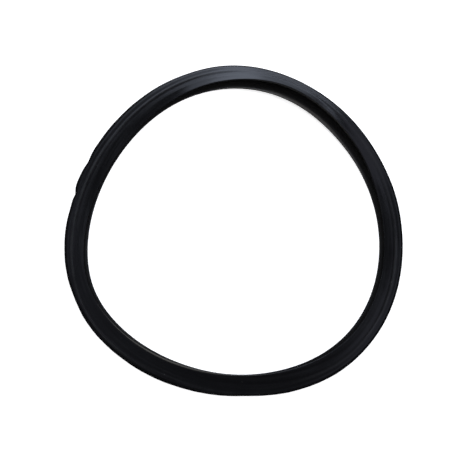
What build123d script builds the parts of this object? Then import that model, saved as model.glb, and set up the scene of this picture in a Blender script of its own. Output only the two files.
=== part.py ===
from build123d import *
import math
import os

# Sealing ring (gasket) for the lid of a stovetop pressure cooker. Millimetres, +Z up.
# It is one moulding of black rubber: a thick outer wall, with an upper and a lower lip
# that reach inwards and leave a channel between them, open towards the middle.
# The origin is the middle of the ring's footprint, on the plane that it lies on.
# A loose ring is never quite round. Its outer outline is given by the distance of its
# tangent from a middle point, for each direction the wall faces: a mean radius, plus a
# few slow waves round the ring. Neither wave changes the outline's total length.

# Driving dimensions
OUTER_DIAMETER = 240.0       # of the circle that has the outline's length
HEIGHT = 9.0
WALL_THICKNESS = 4.8         # outer wall, from its outer face to the channel's floor
LIP_THICKNESS = 1.8
UPPER_LIP_WIDTH = 13.8       # from the outer wall's face to the lip's edge
LOWER_LIP_EXTRA = 2.4        # the lower lip reaches this much further in
SHOULDER_RADIUS = 2.8        # rounding of the wall's two outer corners
RIDGE_WIDTH = 6.3            # from the wall's face to the fold groove
GROOVE_WIDTH = 2.2           # shallow fold groove where each lip bends
GROOVE_DEPTH = 0.15
ROOT_RADIUS = 1.2            # rounding of the channel's two inside corners

# Waves of the relaxed outline: (waves round the ring, height, direction of one crest)
OUTLINE_WAVES = [(3, 3.0, -35.0), (4, 0.6, 26.0)]

SECTORS = 12                 # tangent arcs that make up the outline
SECTOR_ANGLE = 360.0 / SECTORS
MEAN_RADIUS = OUTER_DIAMETER / 2


def bend_radius(facing):
    """Radius of curvature of the outer outline where the wall faces this direction."""
    radius = MEAN_RADIUS
    for count, height, crest in OUTLINE_WAVES:
        radius -= (count**2 - 1) * height * math.cos(math.radians(count * (facing - crest)))
    return radius


def facing_vector(facing):
    """Unit vector in the plane of the ring."""
    return Vector(math.cos(math.radians(facing)), math.sin(math.radians(facing)), 0)


def sector_arcs():
    """Bend centre and radius of each arc, with the footprint's middle at the origin."""
    point = Vector(0, 0, 0)
    corners = []
    arcs = []
    for index in range(SECTORS):
        facing = index * SECTOR_ANGLE
        radius = bend_radius(facing + SECTOR_ANGLE / 2)
        centre = point - facing_vector(facing) * radius
        corners.append(point)
        arcs.append((facing, centre, radius))
        point = centre + facing_vector(facing + SECTOR_ANGLE) * radius
    quarter = SECTORS // 4
    east, north, west, south = corners[0], corners[quarter], corners[2 * quarter], corners[3 * quarter]
    middle = Vector((east.X + west.X) / 2, (north.Y + south.Y) / 2, 0)
    return [(facing, centre - middle, radius) for facing, centre, radius in arcs]


def half_section(lip_width):
    """Upper half of the section: X inwards is negative, Y is height over the mid-plane."""
    top = HEIGHT / 2
    shoulder = SHOULDER_RADIUS
    slant = shoulder * (1 - math.sqrt(0.5))
    groove_start = -RIDGE_WIDTH
    groove_end = -RIDGE_WIDTH - GROOVE_WIDTH
    tip = LIP_THICKNESS / 2
    under = top - LIP_THICKNESS
    root = ROOT_RADIUS
    root_slant = root * (1 - math.sqrt(0.5))
    floor = -WALL_THICKNESS
    return [
        Line((0, 0), (0, top - shoulder)),
        ThreePointArc((0, top - shoulder), (-slant, top - slant), (-shoulder, top)),
        Line((-shoulder, top), (groove_start, top)),
        ThreePointArc(
            (groove_start, top),
            ((groove_start + groove_end) / 2, top - GROOVE_DEPTH),
            (groove_end, top),
        ),
        Line((groove_end, top), (tip - lip_width, top)),
        ThreePointArc((tip - lip_width, top), (-lip_width, top - tip), (tip - lip_width, under)),
        Line((tip - lip_width, under), (floor - root, under)),
        ThreePointArc(
            (floor - root, under),
            (floor - root_slant, under - root_slant),
            (floor, under - root),
        ),
        Line((floor, under - root), (floor, 0)),
    ]


def ring_section():
    """Whole section: two halves about the mid-plane, the lower one with the longer lip."""
    upper = half_section(UPPER_LIP_WIDTH)
    lower = [mirror(edge, about=Plane.XZ) for edge in half_section(UPPER_LIP_WIDTH + LOWER_LIP_EXTRA)]
    return make_face(upper + lower)


def ring_sector(section, facing, centre, radius):
    """The section swung about one bend centre."""
    outwards = facing_vector(facing)
    start = centre + outwards * radius + Vector(0, 0, HEIGHT / 2)
    plane = Plane(origin=start, x_dir=outwards, z_dir=outwards.cross(Vector(0, 0, 1)))
    return revolve(plane * section, Axis(centre, (0, 0, 1)), SECTOR_ANGLE)


def sealing_ring():
    """All the sectors joined into one closed moulding."""
    section = ring_section()
    sectors = [ring_sector(section, *arc) for arc in sector_arcs()]
    return sectors[0].fuse(*sectors[1:]).clean()


def main():
    os.makedirs("parts", exist_ok=True)
    ring = sealing_ring()
    export_step(ring, "parts/sealing_ring.step")
    box = ring.bounding_box()
    print("solids", len(ring.solids()), "faces", len(ring.faces()), "volume", round(ring.volume, 1))
    print("low", tuple(round(v, 3) for v in box.min), "high", tuple(round(v, 3) for v in box.max))
    print("bend radii", [round(radius, 1) for _, _, radius in sector_arcs()])


main()
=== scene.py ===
import math

import bpy
import numpy as np
from mathutils import Matrix, Vector


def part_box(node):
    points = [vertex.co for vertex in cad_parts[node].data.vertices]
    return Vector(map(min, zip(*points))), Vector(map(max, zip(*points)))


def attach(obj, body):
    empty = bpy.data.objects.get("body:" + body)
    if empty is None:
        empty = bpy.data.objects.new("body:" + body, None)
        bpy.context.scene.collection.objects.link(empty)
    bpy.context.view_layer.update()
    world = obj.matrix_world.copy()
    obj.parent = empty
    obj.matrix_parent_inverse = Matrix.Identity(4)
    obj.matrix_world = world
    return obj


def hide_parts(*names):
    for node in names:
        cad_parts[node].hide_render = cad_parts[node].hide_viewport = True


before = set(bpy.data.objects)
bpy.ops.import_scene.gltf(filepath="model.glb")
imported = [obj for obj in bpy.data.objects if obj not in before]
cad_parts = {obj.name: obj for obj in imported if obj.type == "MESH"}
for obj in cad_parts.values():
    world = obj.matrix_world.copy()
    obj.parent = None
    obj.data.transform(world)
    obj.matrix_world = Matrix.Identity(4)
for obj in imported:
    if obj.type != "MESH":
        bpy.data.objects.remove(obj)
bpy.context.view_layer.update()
ring_low, ring_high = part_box("sealing_ring")

# Lengths are in metres and angles in degrees. A facing is the direction that the outer wall
# looks in: 0 is +X and 90 is +Y. A depth is measured inwards from the outer wall's face, and
# a rise is measured up from the section's mid-plane. A hump is (amount, facing, half-width).
MM = 0.001

# The section as moulded
HALF_HEIGHT = (ring_high[2] - ring_low[2]) / 2
WALL_THICKNESS = 4.8 * MM
WALL_BARREL = 0.2 * MM           # the wall's face is this much fuller at its middle
SHOULDER_RADIUS = 2.8 * MM
RELIEF_START = 0.4 * SHOULDER_RADIUS    # the top's relief fades in between here and the shoulder's end
RIDGE_DEPTH = 5.6 * MM           # rounded ridge inside the shoulder
RIDGE_WIDTH = 2.6 * MM
RIDGE_HEIGHT = 0.11 * MM
FOLD_GAP = 1.9 * MM              # shallow fold groove, this far inside the ridge
FOLD_WIDTH = 2.2 * MM
FOLD_DROP = 0.03 * MM
HINGE_DEPTH = 6.9 * MM           # a lip can bend from here on
BEND_LENGTH = 5.0 * MM           # a curled lip bends over this length and is straight beyond
LIP_THICKNESS = 1.8 * MM
UPPER_LIP_DEPTH = 13.8 * MM
LOWER_LIP_DEPTH = 16.2 * MM
TIP_BULGE = 0.5                  # how far a tip stands out, as a share of half its thickness
TIP_ROUNDNESS = 0.5              # 1 would round a tip's corners fully, 0 leave them sharp
BEVEL_DEPTH = 9.8 * MM           # from here the lip's outer face leans towards its tip
BEVEL_SLOPE = 0.07
ROOT_RADIUS = 1.2 * MM           # rounding of the channel's inside corners
FLASH_HEIGHT = 0.14 * MM         # parting line round the outer wall
FLASH_WIDTH = 0.22 * MM
FLASH_MEAN = 0.6                 # share of its height that the parting line has on average
FLASH_RIPPLES = [(0.25, 41.0, 0.0), (0.15, 97.0, 40.0)]    # (share, waves round the ring, phase)
DENT_REACH = 1.6 * SHOULDER_RADIUS      # a dent in the wall has faded out at this depth
DENT_FALLOFF = 0.7

# The outline that the loose ring has relaxed into: (waves round the ring, height, crest)
OUTLINE_WAVES = [(3, 3.0 * MM, -35.0), (4, 0.6 * MM, 26.0)]

# How the loose ring twists and how its upper lip curls up
ROLL_CENTRE_DEPTH = 8.0 * MM
ROLL_MEAN = -1.5
ROLL_WAVE = (3, 5.5, 78.0)
ROLL_HUMPS = [(20.7, 55.0, 35.0), (6.5, 262.0, 36.0)]
CURL_HUMPS = [(8.0, 30.0, 14.0), (16.0, 63.0, 20.0), (9.0, 103.0, 14.0), (8.0, 256.0, 30.0)]
LEAST_CURL = 1e-4                # radians: every lip has this much, so that its bend has a radius

# Where the section is spread (+) or squeezed (-), as a share of its depth
SPREAD_HUMPS = [(0.045, 45.0, 16.0), (0.065, 147.0, 24.0), (-0.055, 200.0, 20.0)]

# Where the ridge wanders towards the wall, and the share of its height that is pressed flat
RIDGE_HUMPS = [(-2.7 * MM, 232.0, 30.0)]
RIDGE_FADE = [(1.0, 264.0, 42.0), (0.5, 40.0, 70.0)]

# How much deeper (+) or less deep (-) each lip reaches, and how wide its rim is painted pale: partly
# talc, partly a painted highlight
UPPER_LIP_HUMPS = [(-2.7 * MM, 60.0, 24.0), (-1.1 * MM, 30.0, 16.0), (1.1 * MM, 145.0, 30.0),
                   (1.0 * MM, 280.0, 38.0)]
LOWER_LIP_HUMPS = [(-0.6 * MM, 266.0, 14.0)]
UPPER_RIM_HUMPS = [(1.3 * MM, 246.0, 28.0)]
LOWER_RIM_HUMPS = [(2.4 * MM, 58.0, 30.0), (1.3 * MM, 246.0, 28.0)]
RIM_FADE = 0.6 * MM              # the rim's paint gets to its full strength over this depth
LOWER_RIM_SHARE = 0.65                # share of the upper rim's talc and painted highlight that lies on the lower rim
CHANNEL_PAINTED_LIGHT = 0.09              # share of the upper rim's paint that lies in the channel, as painted light in the channel's shade
CHANNEL_START = 0.9 * WALL_THICKNESS
CHANNEL_LOW = 0.7 * LIP_THICKNESS - HALF_HEIGHT    # a rise between the lower lip's two faces

# The pressed crease in the upper lip, and the strip round it on the near side that has no grey bloom, so
# it is darker
CREASE_HUMPS = [(1.0, 254.0, 34.0)]
CREASE_FALL = 0.07 * MM
CREASE_DEPTH = 10.1 * MM
CREASE_WIDTH = 1.3 * MM
DARK_STRIP_DEPTH = 11.0 * MM
DARK_STRIP_WIDTH = 8.0 * MM

# Where the ridge and the lips' tips are rubbed; the ridge's paler crest is partly a painted highlight
CREST_WEAR_AND_HIGHLIGHT_WIDTH = 1.1 * RIDGE_WIDTH
TIP_WEAR = 0.3
TIP_WEAR_WIDTH = 1.3 * MM
TIP_WEAR_FADE = 1.0 * MM

# The flat spots and nicks (+) and the proud places (-) of the outer wall
WALL_DENTS = [
    (0.7 * MM, 154.0, 1.8), (-0.25 * MM, 160.5, 3.0), (1.1 * MM, 164.0, 1.2),
    (0.75 * MM, 167.5, 4.0), (0.6 * MM, 203.0, 9.0), (-0.35 * MM, 245.0, 9.0),
    (0.8 * MM, 271.0, 7.0), (-0.45 * MM, 300.0, 14.0), (-0.4 * MM, 15.0, 9.0),
    (-0.3 * MM, 48.0, 12.0), (0.4 * MM, 111.0, 9.0),
]

STATIONS = 500                   # sections round the ring

# How many points each stretch of a half-section has
FLASH_POINTS = 7                 # over the parting line, out to 3 times its width
WALL_POINTS = 4                  # over the rest of the wall's face
SHOULDER_POINTS = 12
LAND_POINTS = 18                 # from the shoulder to the lip's hinge
OUTER_POINTS = 27                # along a lip's outer face
TIP_POINTS = 7
INNER_POINTS = 9                 # along a lip's inner face
ROOT_POINTS = 7
CHANNEL_POINTS = 4               # from the root to the channel's middle

# The camera: how far it stands from the ring's middle, how far it leans off the vertical and
# towards which side, and how far it slides to its left and up to frame the ring
CAMERA_DISTANCE = 0.750
CAMERA_TILT = 12.7
CAMERA_SIDE = 252.0
CAMERA_AIM_RISE = 5.0 * MM       # height of the point that it faces before it slides
CAMERA_SLIDE_LEFT = 7.3766 * MM
CAMERA_SLIDE_UP = 1.1349 * MM
CAMERA_LENS = 84.592             # millimetres, like the sensor's width
SENSOR_WIDTH = 36.0

# Soft lights: (name, place, size, turn, colour, radiance). The turn is about X: a panel hangs
# level and shines down at 0, stands and shines towards -Y at -90, and as a bounce card lies
# on the floor and shines up at 180.
WINDOW_TINT = (0.90, 1.0, 1.22)
SIDE_TINT = (0.96, 1.0, 1.27)
CARD_TINT = (1.0, 0.97, 0.88)
CARD_RISE = ring_low[2] + 0.01 * MM
PANELS = [
    ("window", (0.05, 1.12, 0.95), (0.5, 0.75), 0.0, WINDOW_TINT, 2.9),
    ("window_near", (-0.03, 0.55, 0.95), (0.6, 0.39), 0.0, WINDOW_TINT, 1.2),
    ("window_back", (0.6, 1.7, 0.95), (1.6, 0.45), 0.0, WINDOW_TINT, 2.6),
    ("window_wall", (0.1, 1.95, 0.62), (2.0, 0.56), -90.0, WINDOW_TINT, 1.25),
    ("right_fill", (0.72, 0.2, 0.95), (0.75, 1.5), 0.0, SIDE_TINT, 0.34),
    ("left_fill", (-0.54, 0.4, 0.95), (0.92, 1.2), 0.0, SIDE_TINT, 0.11),
    ("near_fill", (0.0, -0.55, 0.95), (1.2, 0.5), 0.0, SIDE_TINT, 0.10),
    ("inner_card", (0.0, 0.0, CARD_RISE), (0.11, 0.11), 180.0, CARD_TINT, 0.6),
    ("back_card", (0.1, 0.55, CARD_RISE), (0.9, 0.8), 180.0, CARD_TINT, 0.9),
]

# The floor is a light table, so that shadows stay pale
FLOOR_GLOW = 0.5
FLOOR_HALF_SIDE = 3.0
FLOOR_GAP = 0.05 * MM            # between the floor and the ring
FLOOR_CLOUD_SCALE = 3.0          # size of its unevenness, in waves per metre
FLOOR_ROUGHNESS = 0.95
FLOOR_SPECULAR = 0.1


# ---------------------------------------------------------------- the ring's relaxed shape


def hump(facing, centre, half_width):
    """A smooth hump of height 1 centred on one facing."""
    away = (facing - centre + 180.0) % 360.0 - 180.0
    return np.exp(-((away / half_width) ** 2))


def humps(facing, shapes):
    """The sum of several humps for every facing, as a column."""
    total = sum(amount * hump(facing, centre, half_width) for amount, centre, half_width in shapes)
    return total[:, None]


def mean_radius():
    """The outline's mean radius. Only its even waves change the CAD box's width."""
    radius = (ring_high[0] - ring_low[0]) / 2
    for count, height, crest in OUTLINE_WAVES:
        if count % 2 == 0:
            radius -= height * math.cos(math.radians(count * crest))
    return radius


def outline(facing):
    """Distance of the outline's tangent from the middle for each facing, and its slope."""
    reach = np.full_like(facing, mean_radius())
    slope = np.zeros_like(facing)
    for count, height, crest in OUTLINE_WAVES:
        phase = np.radians(count * (facing - crest))
        reach += height * np.cos(phase)
        slope -= count * height * np.sin(phase)
    return reach, slope


def outline_middle():
    """Where the middle of the outline's box lies, so that it can be put on the CAD box's."""
    reach, _ = outline(np.array([0.0, 90.0, 180.0, 270.0]))
    return (reach[0] - reach[2]) / 2, (reach[1] - reach[3]) / 2


def roll_angle(facing):
    """How far the section rolls with its top outwards, in radians, as a column."""
    count, amount, crest = ROLL_WAVE
    wave = amount * np.cos(np.radians(count * (facing - crest)))
    return np.radians(ROLL_MEAN + wave[:, None] + humps(facing, ROLL_HUMPS))


# ---------------------------------------------------------------- the section


def bead(depth, centre, width):
    """A rounded bead of height 1, flat at both of its edges."""
    across = np.clip((depth - centre) / width, -0.5, 0.5)
    return 0.5 + 0.5 * np.cos(2 * math.pi * across)


def face_relief(depth, facing):
    """Rise of the ridge, the fold groove and the pressed crease on a lip's outer face."""
    centre = RIDGE_DEPTH + humps(facing, RIDGE_HUMPS)
    ridge = RIDGE_HEIGHT * bead(depth, centre, RIDGE_WIDTH)
    fold = FOLD_DROP * bead(depth, centre + FOLD_GAP, FOLD_WIDTH)
    crease = CREASE_FALL * humps(facing, CREASE_HUMPS) * bead(depth, CREASE_DEPTH, CREASE_WIDTH)
    return (ridge - fold) * (1 - humps(facing, RIDGE_FADE)) - crease


def wall_face(facing):
    """Depths and rises from the wall's middle, over the shoulder, to the hinge of the lip."""
    straight = HALF_HEIGHT - SHOULDER_RADIUS
    flash_rise = FLASH_WIDTH * np.linspace(0, 3, FLASH_POINTS)
    wall_rise = np.append(flash_rise, np.linspace(4 * FLASH_WIDTH, straight, WALL_POINTS))
    wall_depth = WALL_BARREL * (wall_rise / straight) ** 2
    turn = np.linspace(0, math.pi / 2, SHOULDER_POINTS + 1)[1:]
    round_depth = SHOULDER_RADIUS - (SHOULDER_RADIUS - WALL_BARREL) * np.cos(turn)
    round_rise = straight + (SHOULDER_RADIUS - RIDGE_HEIGHT) * np.sin(turn)
    land = np.linspace(SHOULDER_RADIUS, HINGE_DEPTH, LAND_POINTS + 2)[1:-1]
    depth = np.concatenate([wall_depth, round_depth, land])
    rise = np.concatenate([wall_rise, round_rise, np.full_like(land, HALF_HEIGHT - RIDGE_HEIGHT)])
    top = np.clip((depth - RELIEF_START) / (SHOULDER_RADIUS - RELIEF_START), 0, 1)
    return depth + 0 * facing[:, None], rise + top * face_relief(depth, facing)


def lip_faces(facing, lip_depth, curl):
    """Depths and rises along a lip's outer face, round its tip and back along its inner face."""
    half = LIP_THICKNESS / 2
    tip_radius = half - BEVEL_SLOPE * (lip_depth - BEVEL_DEPTH) / 2
    length = lip_depth - TIP_BULGE * tip_radius - HINGE_DEPTH
    middle_rise = HALF_HEIGHT - RIDGE_HEIGHT - half

    def middle_line(count):
        along = length * np.linspace(0, 1, count)
        angle = curl * np.minimum(along / BEND_LENGTH, 1)
        beyond = np.maximum(along - BEND_LENGTH, 0)
        depth = HINGE_DEPTH + np.sin(angle) * BEND_LENGTH / curl + beyond * np.cos(curl)
        rise = middle_rise + (1 - np.cos(angle)) * BEND_LENGTH / curl + beyond * np.sin(curl)
        return along, angle, depth, rise

    along, angle, depth, rise = middle_line(OUTER_POINTS)
    bevel = BEVEL_SLOPE * np.maximum(along + HINGE_DEPTH - BEVEL_DEPTH, 0)
    out = half - bevel + face_relief(along + HINGE_DEPTH, facing)
    outer = depth - out * np.sin(angle), rise + out * np.cos(angle)
    _, angle, depth, rise = middle_line(INNER_POINTS)
    inner = depth + half * np.sin(angle), rise - half * np.cos(angle)
    centre_depth, centre_rise = [(outer[axis][:, -1:] + inner[axis][:, -1:]) / 2 for axis in (0, 1)]
    turn = np.linspace(math.pi / 2, -math.pi / 2, TIP_POINTS + 2)[1:-1]
    ahead = TIP_BULGE * tip_radius * np.cos(turn) ** TIP_ROUNDNESS
    aside = tip_radius * np.sign(turn) * np.abs(np.sin(turn)) ** TIP_ROUNDNESS
    bent = angle[:, -1:]
    tip_depth = centre_depth + ahead * np.cos(bent) - aside * np.sin(bent)
    tip_rise = centre_rise + ahead * np.sin(bent) + aside * np.cos(bent)
    tip = tip_depth, tip_rise
    return [np.hstack([outer[axis], tip[axis], inner[axis][:, ::-1]]) for axis in (0, 1)]


def channel_root(facing):
    """Depths and rises from the lip's hinge, round the root, to the channel's middle."""
    under = HALF_HEIGHT - RIDGE_HEIGHT - LIP_THICKNESS
    turn = np.linspace(0, math.pi / 2, ROOT_POINTS)
    depth = WALL_THICKNESS + ROOT_RADIUS * (1 - np.sin(turn))
    rise = under - ROOT_RADIUS * (1 - np.cos(turn))
    depth = np.append(depth, np.full(CHANNEL_POINTS, WALL_THICKNESS))
    rise = np.append(rise, np.linspace(rise[-1], 0, CHANNEL_POINTS + 1)[1:])
    column = 0 * facing[:, None]
    return depth + column, rise + column


def half_section(facing, lip_depth, curl):
    """Rows of one half for every station, from the wall's middle to the channel's."""
    parts = wall_face(facing), lip_faces(facing, lip_depth, curl), channel_root(facing)
    return [np.hstack([part[axis] for part in parts]) for axis in (0, 1)]


def wall_marks(facing, depth, rise):
    """Depth to add to each point for the parting line, flat spots and nicks of the wall."""
    ripple = np.full_like(facing, FLASH_MEAN)
    for share, count, phase in FLASH_RIPPLES:
        ripple += share * np.sin(np.radians(count * facing + phase))
    flash = FLASH_HEIGHT * ripple[:, None] * np.exp(-((rise / FLASH_WIDTH) ** 2))
    near_wall = np.clip(1 - depth / DENT_REACH, 0, 1) ** DENT_FALLOFF
    return humps(facing, WALL_DENTS) * near_wall - np.where(depth < WALL_THICKNESS / 2, flash, 0)


def lip_depths(facing):
    """How deep the upper and the lower lip reach at every facing."""
    upper = UPPER_LIP_DEPTH + humps(facing, UPPER_LIP_HUMPS)
    lower = LOWER_LIP_DEPTH + humps(facing, LOWER_LIP_HUMPS)
    return upper, lower


def section_rows(facing):
    """The closed section at every station, as moulded, spread, marked and curled."""
    straight = np.full((len(facing), 1), LEAST_CURL)
    curl = np.maximum(np.radians(humps(facing, CURL_HUMPS)), LEAST_CURL)
    upper_depth, lower_depth = lip_depths(facing)
    upper = half_section(facing, upper_depth, curl)
    lower = half_section(facing, lower_depth, straight)
    depth = np.hstack([upper[0], lower[0][:, -2:0:-1]])
    rise = np.hstack([upper[1], -lower[1][:, -2:0:-1]])
    spread = depth * (1 + humps(facing, SPREAD_HUMPS))
    return spread + wall_marks(facing, depth, rise), rise


def place_rows(facing, depth, rise):
    """Points in space: each section is rolled, set on the floor and put on the outline."""
    roll = roll_angle(facing)
    outwards = ROLL_CENTRE_DEPTH - depth
    reach, slope = outline(facing)
    distance = reach[:, None] + outwards * np.cos(roll) + rise * np.sin(roll) - ROLL_CENTRE_DEPTH
    up = rise * np.cos(roll) - outwards * np.sin(roll)
    up = up - up.min(axis=1, keepdims=True) + ring_low[2]
    looking = np.radians(facing)[:, None]
    middle_x, middle_y = outline_middle()
    x = distance * np.cos(looking) - slope[:, None] * np.sin(looking) - middle_x
    y = distance * np.sin(looking) + slope[:, None] * np.cos(looking) - middle_y
    return np.stack([x, y, up], axis=2)


def edge_wear_and_highlight(facing, depth, rise):
    """How rubbed each point is: most on the upper ridge, whose paler crest is partly a painted
    highlight, and some round the lower lip's tip.
    """
    # The ridge's paler crest: wear, and partly a painted highlight.
    ridge = bead(depth, RIDGE_DEPTH + humps(facing, RIDGE_HUMPS), CREST_WEAR_AND_HIGHLIGHT_WIDTH)
    ridge = ridge * (1 - humps(facing, RIDGE_FADE))
    outer = rise > HALF_HEIGHT - LIP_THICKNESS / 2
    _, lower_depth = lip_depths(facing)
    tip = np.clip((depth - lower_depth + TIP_WEAR_WIDTH) / TIP_WEAR_FADE, 0, 1)
    return np.maximum(np.where(outer, ridge, 0), TIP_WEAR * tip)


def rim_talc_and_channel_light(facing, depth, rise):
    """How pale each point is painted: along the lips' rims partly old talc and partly a painted
    highlight, and in the channel painted light in its shade.
    """
    upper_depth, lower_depth = lip_depths(facing)
    upper_start = upper_depth - humps(facing, UPPER_RIM_HUMPS)
    lower_start = lower_depth - humps(facing, LOWER_RIM_HUMPS)
    # The rims are painted pale: partly old talc, partly a painted highlight where they catch the light.
    painted_light_and_talc = np.clip((depth - np.where(rise > 0, upper_start, lower_start)) / RIM_FADE, 0, 1)
    painted_light_and_talc = np.where(rise > 0, painted_light_and_talc, LOWER_RIM_SHARE * painted_light_and_talc)
    # The channel is painted paler too: painted light in its shade.
    channel = (depth > CHANNEL_START) & (rise > CHANNEL_LOW) & (rise < 0)
    return np.maximum(painted_light_and_talc, CHANNEL_PAINTED_LIGHT * channel)


def darker_near_strip(facing, depth, rise):
    """How much of the grey bloom each point lacks: a strip of the upper lip's outer face on the near
    side, which is darker for it.
    """
    outer = rise > HALF_HEIGHT - LIP_THICKNESS / 2
    return np.where(outer, humps(facing, CREASE_HUMPS) * bead(depth, DARK_STRIP_DEPTH, DARK_STRIP_WIDTH), 0)


def give_attribute(mesh, name, values):
    """Store one number for each of the mesh's points, for the material to read."""
    attribute = mesh.attributes.new(name, "FLOAT", "POINT")
    attribute.data.foreach_set("value", values.astype(float).ravel())


def ring_mesh():
    """The ring's closed skin, smooth, with what the rubber's material reads at each point."""
    facing = np.arange(STATIONS) * 360.0 / STATIONS
    depth, rise = section_rows(facing)
    points = place_rows(facing, depth, rise)
    index = np.arange(depth.size).reshape(depth.shape)
    beyond = np.roll(index, -1, axis=0)
    corners = [beyond, index, np.roll(index, -1, axis=1), np.roll(beyond, -1, axis=1)]
    faces = np.stack(corners, axis=2).reshape(-1, 4)
    mesh = bpy.data.meshes.new("sealing_ring_rubber")
    mesh.from_pydata(points.reshape(-1, 3).tolist(), [], faces.tolist())
    mesh.polygons.foreach_set("use_smooth", [True] * len(faces))
    give_attribute(mesh, "depth", depth)
    give_attribute(mesh, "rise", rise)
    moulded_depth = depth / (1 + humps(facing, SPREAD_HUMPS))
    give_attribute(mesh, "wear_and_highlight", edge_wear_and_highlight(facing, moulded_depth, rise))
    give_attribute(mesh, "painted_light_and_talc", rim_talc_and_channel_light(facing, moulded_depth, rise))
    give_attribute(mesh, "no_bloom", darker_near_strip(facing, depth, rise))
    return mesh


# ---------------------------------------------------------------- materials


class Nodes:
    """A short way to add and join the shader nodes of one material."""

    def __init__(self, name):
        self.material = bpy.data.materials.new(name)
        self.material.use_nodes = True
        self.tree = self.material.node_tree
        self.shader = self.tree.nodes["Principled BSDF"]

    def add(self, kind, inputs=(), **settings):
        node = self.tree.nodes.new(kind)
        for key, value in settings.items():
            setattr(node, key, value)
        for key, value in dict(inputs).items():
            self.give(node.inputs[key], value)
        return node.outputs[0]

    def give(self, socket, value):
        if isinstance(value, bpy.types.NodeSocket):
            self.tree.links.new(value, socket)
        else:
            socket.default_value = value

    def math(self, operation, first, second, clamp=False):
        return self.add("ShaderNodeMath", {0: first, 1: second}, operation=operation, use_clamp=clamp)

    def ramp(self, value, low, high, to_low, to_high):
        """A smooth step from to_low where the value is low to to_high where it is high."""
        inputs = {"Value": value, "From Min": low, "From Max": high, "To Min": to_low, "To Max": to_high}
        return self.add("ShaderNodeMapRange", inputs, interpolation_type="SMOOTHSTEP")

    def noise(self, vector, scale, detail=3.0, rough=0.55):
        inputs = {"Vector": vector, "Scale": scale, "Detail": detail, "Roughness": rough}
        return self.add("ShaderNodeTexNoise", inputs)

    def blend(self, amount, first, second):
        """Mix two colours. A Mix node's sockets share their names, so these go by number."""
        node = self.tree.nodes.new("ShaderNodeMix")
        node.data_type = "RGBA"
        self.give(node.inputs["Factor"], amount)
        self.give(node.inputs[6], first)
        self.give(node.inputs[7], second)
        return node.outputs[2]

    def attribute(self, name):
        node = self.tree.nodes.new("ShaderNodeAttribute")
        node.attribute_name = name
        return node.outputs["Fac"]


BLACK = (0.0027, 0.0028, 0.0034, 1.0)
BLOOM = (0.0064, 0.0067, 0.0082, 1.0)    # the faint grey that comes to a rubber's surface
# Paler where rubbed; on the ridge's crest this is partly a painted highlight.
RUBBED_AND_HIGHLIGHT = (0.0130, 0.0134, 0.0146, 1.0)
TALC_AND_LIGHT_COLOR = (0.056, 0.053, 0.047, 1.0)        # old talc on the rims with a painted highlight, and painted light in the channel
DUST = (0.060, 0.060, 0.058, 1.0)
FLOOR_GREYS = (0.93, 0.93, 0.93, 1.0), (0.95, 0.95, 0.95, 1.0)
WHITE = (1.0, 1.0, 1.0, 1.0)

# Sizes of the textures, in waves per metre
STREAK_SCALE_ROUND = 26.0
STREAK_SCALE_ACROSS = 700.0
BLOTCH_SCALE = 60.0
GRAIN_SCALE = 2300.0
PIT_SCALE = 620.0
DUST_SCALE = 210.0

# Smooth steps: (texture's value from, to, amount from, to)
BLOOM_BY_STREAK = (0.38, 0.68, 0.0, 1.0)
BLOOM_BY_BLOTCH = (0.3, 0.7, 0.25, 0.9)
WEAR_AND_HIGHLIGHT_BY_BLOTCH = (0.25, 0.65, 0.35, 1.0)
TALC_AND_LIGHT_BY_STREAK = (0.2, 0.6, 0.5, 1.0)
DUST_BY_DISTANCE = (0.035, 0.06, 1.0, 0.0)
DUST_BY_BLOTCH = (0.5, 0.6, 0.0, 0.7)
ROUGHNESS_BY_STREAK = (0.3, 0.7, 0.20, 0.27)
PIT_BY_DISTANCE = (0.05, 0.16, 0.25, 0.0)

WEAR_ROUGHNESS = 0.06            # added where the rubber is rubbed
STREAK_RELIEF = 0.5
GRAIN_RELIEF = 0.35
BUMP_STRENGTH = 0.35
BUMP_HEIGHT = 0.06 * MM


def rubber_textures(nodes, place):
    """Streaks that run round the ring, and blotches, for the bloom, the wear, the talc and the painted
    light.
    """
    round_scale = (STREAK_SCALE_ROUND,) * 3
    across_scale = (STREAK_SCALE_ACROSS, STREAK_SCALE_ACROSS, 0.0)
    around = nodes.add("ShaderNodeVectorMath", {0: place, 1: round_scale}, operation="MULTIPLY")
    section_inputs = {"X": nodes.attribute("depth"), "Y": nodes.attribute("rise")}
    section = nodes.add("ShaderNodeCombineXYZ", section_inputs)
    across = nodes.add("ShaderNodeVectorMath", {0: section, 1: across_scale}, operation="MULTIPLY")
    streak_place = nodes.add("ShaderNodeVectorMath", {0: around, 1: across}, operation="ADD")
    streaks = nodes.noise(streak_place, 1.0, detail=4.0, rough=0.6)
    return streaks, nodes.noise(place, BLOTCH_SCALE)


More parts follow.
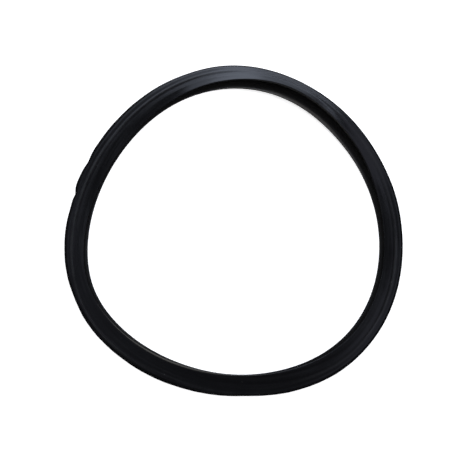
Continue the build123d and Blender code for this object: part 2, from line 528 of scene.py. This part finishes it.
def rubber_color(nodes, place, streaks, blotches, wear_and_highlight):
    """Black, then the grey bloom (missing from a darker strip on the near side), the rubbed edges with a
    painted highlight on the ridge, the pale rims of talc and a painted highlight, the painted light in
    the channel and a few specks of dust.
    """
    bloom_here = nodes.ramp(blotches, *BLOOM_BY_BLOTCH)
    bloom = nodes.math("MULTIPLY", nodes.ramp(streaks, *BLOOM_BY_STREAK), bloom_here)
    # The strip on the near side has no grey bloom, so it is darker there.
    bloom_kept = nodes.math("SUBTRACT", 1.0, nodes.attribute("no_bloom"))
    bloom = nodes.math("MULTIPLY", bloom, bloom_kept, clamp=True)
    talc_and_light = nodes.math("MULTIPLY", nodes.attribute("painted_light_and_talc"), nodes.ramp(streaks, *TALC_AND_LIGHT_BY_STREAK))
    dust_inputs = {"Vector": place, "Scale": DUST_SCALE}
    dust_spots = nodes.add("ShaderNodeTexVoronoi", dust_inputs, feature="F1")
    dust_here = nodes.ramp(blotches, *DUST_BY_BLOTCH)
    dust = nodes.math("MULTIPLY", nodes.ramp(dust_spots, *DUST_BY_DISTANCE), dust_here)
    color = nodes.blend(bloom, BLACK, BLOOM)
    # Rubbed edges, with a painted highlight on the ridge's crest.
    color = nodes.blend(wear_and_highlight, color, RUBBED_AND_HIGHLIGHT)
    # Lay the pale rims, talc with a painted highlight, and the channel's painted light.
    color = nodes.blend(talc_and_light, color, TALC_AND_LIGHT_COLOR)
    return nodes.blend(dust, color, DUST)


def rubber_bump(nodes, place, streaks):
    """Fine relief of the surface: the streaks, a moulded grain and small pits."""
    grain = nodes.noise(place, GRAIN_SCALE, detail=2.0)
    pits = nodes.add("ShaderNodeTexVoronoi", {"Vector": place, "Scale": PIT_SCALE}, feature="F1")
    streak_relief = nodes.math("MULTIPLY", streaks, STREAK_RELIEF)
    relief = nodes.math("ADD", streak_relief, nodes.math("MULTIPLY", grain, GRAIN_RELIEF))
    relief = nodes.math("SUBTRACT", relief, nodes.ramp(pits, *PIT_BY_DISTANCE))
    inputs = {"Strength": BUMP_STRENGTH, "Distance": BUMP_HEIGHT, "Height": relief}
    return nodes.add("ShaderNodeBump", inputs)


def rubber_material():
    """Satin black rubber: grey bloom in streaks, fine grain, rubbed edges and pale rims, with painted
    highlights on the ridge and the rims and painted light in the channel.
    """
    nodes = Nodes("rubber")
    place = nodes.tree.nodes.new("ShaderNodeTexCoord").outputs["Object"]
    streaks, blotches = rubber_textures(nodes, place)
    wear_and_highlight_here = nodes.ramp(blotches, *WEAR_AND_HIGHLIGHT_BY_BLOTCH)
    wear_and_highlight = nodes.math("MULTIPLY", nodes.attribute("wear_and_highlight"), wear_and_highlight_here, clamp=True)
    color = rubber_color(nodes, place, streaks, blotches, wear_and_highlight)
    nodes.give(nodes.shader.inputs["Base Color"], color)
    wear_rough = nodes.math("MULTIPLY", wear_and_highlight, WEAR_ROUGHNESS)
    rough = nodes.math("ADD", nodes.ramp(streaks, *ROUGHNESS_BY_STREAK), wear_rough)
    nodes.give(nodes.shader.inputs["Roughness"], rough)
    nodes.give(nodes.shader.inputs["Normal"], rubber_bump(nodes, place, streaks))
    return nodes.material


def floor_material():
    """Matt white studio floor that glows, with the faintest unevenness."""
    nodes = Nodes("studio_floor")
    place = nodes.tree.nodes.new("ShaderNodeTexCoord").outputs["Object"]
    cloud = nodes.noise(place, FLOOR_CLOUD_SCALE)
    color = nodes.blend(cloud, *FLOOR_GREYS)
    nodes.give(nodes.shader.inputs["Base Color"], color)
    nodes.give(nodes.shader.inputs["Roughness"], FLOOR_ROUGHNESS)
    nodes.give(nodes.shader.inputs["Specular IOR Level"], FLOOR_SPECULAR)
    nodes.give(nodes.shader.inputs["Emission Color"], WHITE)
    nodes.give(nodes.shader.inputs["Emission Strength"], FLOOR_GLOW)
    return nodes.material


# ---------------------------------------------------------------- the scene


def add_object(name, data):
    """A new object in the scene."""
    item = bpy.data.objects.new(name, data)
    bpy.context.scene.collection.objects.link(item)
    return item


def add_ring():
    """The visual ring, in the place of the CAD's."""
    ring = add_object("sealing_ring_rubber", ring_mesh())
    ring.data.materials.append(rubber_material())
    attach(ring, "root")
    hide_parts("sealing_ring")


def add_floor():
    """A square floor just under the ring, which the rubber's gloss doesn't show."""
    mesh = bpy.data.meshes.new("studio_floor")
    signs = (-1, -1), (1, -1), (1, 1), (-1, 1)
    corners = [(x * FLOOR_HALF_SIDE, y * FLOOR_HALF_SIDE, 0) for x, y in signs]
    mesh.from_pydata(corners, [], [(0, 1, 2, 3)])
    mesh.materials.append(floor_material())
    floor = add_object("studio_floor", mesh)
    floor.location.z = ring_low[2] - FLOOR_GAP
    floor.visible_glossy = False


def add_panel(name, place, size, turn, color, radiance):
    """A soft light that evenly shines from its whole face. The camera doesn't see it."""
    data = bpy.data.lights.new(name, "AREA")
    data.shape = "RECTANGLE"
    data.size, data.size_y = size
    data.color = color
    data.energy = radiance * math.pi * size[0] * size[1]
    panel = add_object(name, data)
    panel.location = place
    panel.rotation_euler.x = math.radians(turn)
    panel.visible_camera = False


def add_world():
    """An even white surround. It lights the floor and the ring, but no gloss shows it."""
    world = bpy.data.worlds.new("studio")
    world.use_nodes = True
    world.node_tree.nodes["Background"].inputs["Color"].default_value = WHITE
    world.cycles_visibility.glossy = False
    bpy.context.scene.world = world


def add_camera():
    """The camera faces along its line of sight and slides sideways to frame the ring."""
    tilt, side = math.radians(CAMERA_TILT), math.radians(CAMERA_SIDE)
    lean = math.sin(tilt)
    back = Vector((lean * math.cos(side), lean * math.sin(side), math.cos(tilt)))
    right = Vector((0, 1, 0)).cross(back).normalized()
    up = back.cross(right)
    data = bpy.data.cameras.new("camera")
    data.sensor_width = SENSOR_WIDTH
    data.lens = CAMERA_LENS
    camera = add_object("camera", data)
    aim = Vector((0, 0, CAMERA_AIM_RISE))
    slide = up * CAMERA_SLIDE_UP - right * CAMERA_SLIDE_LEFT
    camera.location = aim + back * CAMERA_DISTANCE + slide
    camera.rotation_mode = "QUATERNION"
    camera.rotation_quaternion = Matrix((right, up, back)).transposed().to_quaternion()
    bpy.context.scene.camera = camera


add_ring()
add_floor()
for panel in PANELS:
    add_panel(*panel)
add_world()
add_camera()
bpy.context.scene.view_settings.view_transform = "Standard"
